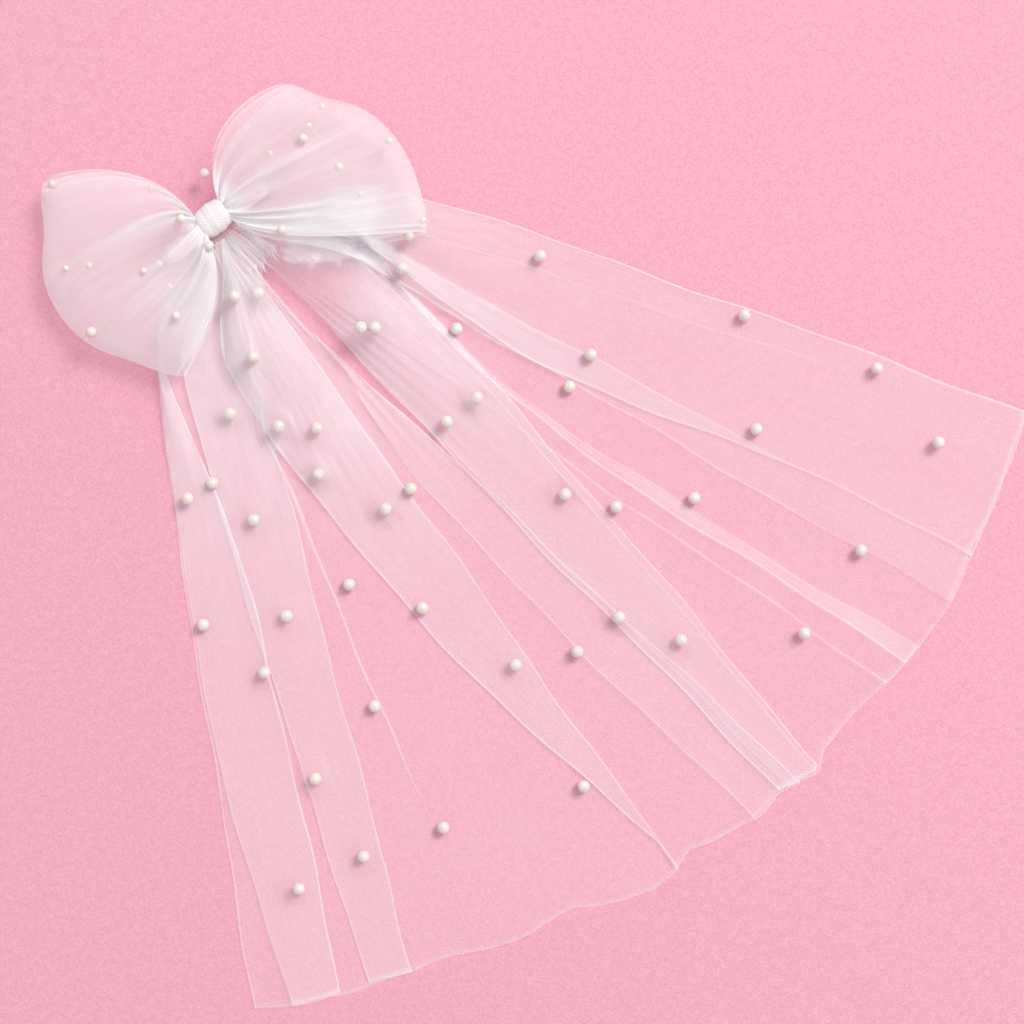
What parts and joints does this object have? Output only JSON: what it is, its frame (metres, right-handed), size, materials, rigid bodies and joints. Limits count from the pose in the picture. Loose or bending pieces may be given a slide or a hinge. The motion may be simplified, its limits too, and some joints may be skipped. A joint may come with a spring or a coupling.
{
  "type": "hair bow",
  "caption": "Sheer two-loop tulle hair bow with a wrapped knot, long fanned tulle tails scattered with pearls, and a barrette clip behind it.",
  "frame": {"origin": "middle of the clamp arm's flat underside, the face that lies against the head; the bow lies on its back on the plane z = 0", "axes": "+Z out of the bow's front, +X along the barrette towards the bow's right loop, and the tails hang towards -Y"},
  "size_m": [0.6212, 0.5967, 0.0358],
  "materials": {
    "loop_tulle": "stiff sheer white tulle, doubled, matt",
    "tail_tulle": "soft sheer white tulle, single layer, fine diamond mesh",
    "wrap_tulle": "white tulle gathered into a dense band",
    "thread": "white sewing thread",
    "felt": "white felt",
    "pearl": "ivory nacre coating, soft gloss",
    "steel": "nickel-plated pressed steel",
    "spring_steel": "nickel-plated spring steel"
  },
  "bodies": {
    "root": {"base_bar": "steel", "binding_thread": "thread", "catch_plate": "steel", "catch_rivet": "steel", "felt_pad": "felt", "gathered_core": "loop_tulle", "hinge_pin": "steel", "knot_wrap": "wrap_tulle", "leaf_spring": "spring_steel", "left_loop": "loop_tulle", "left_tail": "tail_tulle", "left_tail_pearl_01": "pearl", "left_tail_pearl_02": "pearl", "left_tail_pearl_03": "pearl", "left_tail_pearl_04": "pearl", "left_tail_pearl_05": "pearl", "left_tail_pearl_06": "pearl", "left_tail_pearl_07": "pearl", "left_tail_pearl_08": "pearl", "left_tail_pearl_09": "pearl", "left_tail_pearl_10": "pearl", "left_tail_pearl_11": "pearl", "left_tail_pearl_12": "pearl", "left_tail_pearl_13": "pearl", "left_tail_pearl_14": "pearl", "left_tail_pearl_15": "pearl", "left_tail_pearl_16": "pearl", "left_tail_pearl_17": "pearl", "left_tail_pearl_18": "pearl", "left_tail_pearl_19": "pearl", "left_tail_pearl_20": "pearl", "left_tail_pearl_21": "pearl", "left_tail_pearl_22": "pearl", "left_tail_pearl_23": "pearl", "right_loop": "loop_tulle", "right_tail": "tail_tulle", "right_tail_pearl_01": "pearl", "right_tail_pearl_02": "pearl", "right_tail_pearl_03": "pearl", "right_tail_pearl_04": "pearl", "right_tail_pearl_05": "pearl", "right_tail_pearl_06": "pearl", "right_tail_pearl_07": "pearl", "right_tail_pearl_08": "pearl", "right_tail_pearl_09": "pearl", "right_tail_pearl_10": "pearl", "right_tail_pearl_11": "pearl", "right_tail_pearl_12": "pearl", "right_tail_pearl_13": "pearl", "right_tail_pearl_14": "pearl", "right_tail_pearl_15": "pearl", "right_tail_pearl_16": "pearl", "right_tail_pearl_17": "pearl", "right_tail_pearl_18": "pearl", "right_tail_pearl_19": "pearl", "tail_header": "tail_tulle"},
    "arm": {"clamp_arm": "steel"},
    "front_prong": {"prong_front": "spring_steel"},
    "rear_prong": {"prong_rear": "spring_steel"}
  },
  "joints": [
    {"name": "arm_hinge", "type": "hinge", "parent": "root", "child": "arm", "pos_m": [-0.038, 0, 0.002], "axis": [0, 1, 0], "range_deg": [0, 85]},
    {"name": "front_prong_squeeze", "type": "hinge", "parent": "root", "child": "front_prong", "pos_m": [0.0367, -0.003, 0.00635], "axis": [1, 0, 0], "range_deg": [0, 8], "stiffness_Nm_per_rad": 0.05},
    {"name": "rear_prong_squeeze", "type": "hinge", "parent": "root", "child": "rear_prong", "pos_m": [0.0367, 0.003, 0.00635], "axis": [1, 0, 0], "range_deg": [-8, 0], "stiffness_Nm_per_rad": 0.05}
  ]
}
